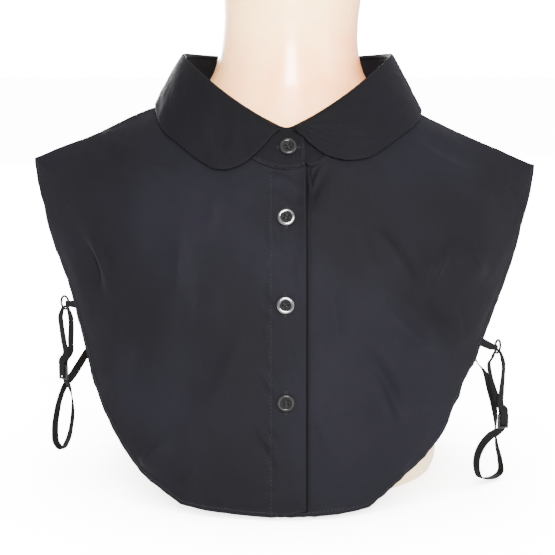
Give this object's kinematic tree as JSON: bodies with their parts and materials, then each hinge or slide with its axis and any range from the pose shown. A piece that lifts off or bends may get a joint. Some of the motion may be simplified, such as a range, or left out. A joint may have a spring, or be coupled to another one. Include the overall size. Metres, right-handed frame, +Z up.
{
  "type": "detachable shirt collar on a limbless dress form bust",
  "caption": "False shirt front in black poplin with a rounded collar, buttoned front and elastic side straps, on a neck-and-shoulder dress form.",
  "frame": {"origin": "middle of the bust's flat underside, on the floor", "axes": "+Z up, the buttoned front faces -Y, the wearer's left is +X"},
  "size_m": [0.3745, 0.2461, 0.372],
  "materials": {
    "black_poplin": "matt plain weave",
    "black_button": "polished",
    "black_elastic": "matt woven",
    "black_hardware": "glossy black coating",
    "cream_plastic": "satin gloss"
  },
  "bodies": {
    "root": {"front_right": "black_poplin", "front_left": "black_poplin", "back": "black_poplin", "collar_stand": "black_poplin", "collar_leaf": "black_poplin", "button_1": "black_button", "button_2": "black_button", "button_3": "black_button", "button_4": "black_button", "tab_right": "black_elastic", "tab_left": "black_elastic", "strap_right": "black_elastic", "strap_left": "black_elastic", "ring_right": "black_hardware", "ring_left": "black_hardware", "slider_right": "black_hardware", "slider_left": "black_hardware", "bust": "cream_plastic"}
  },
  "joints": []
}
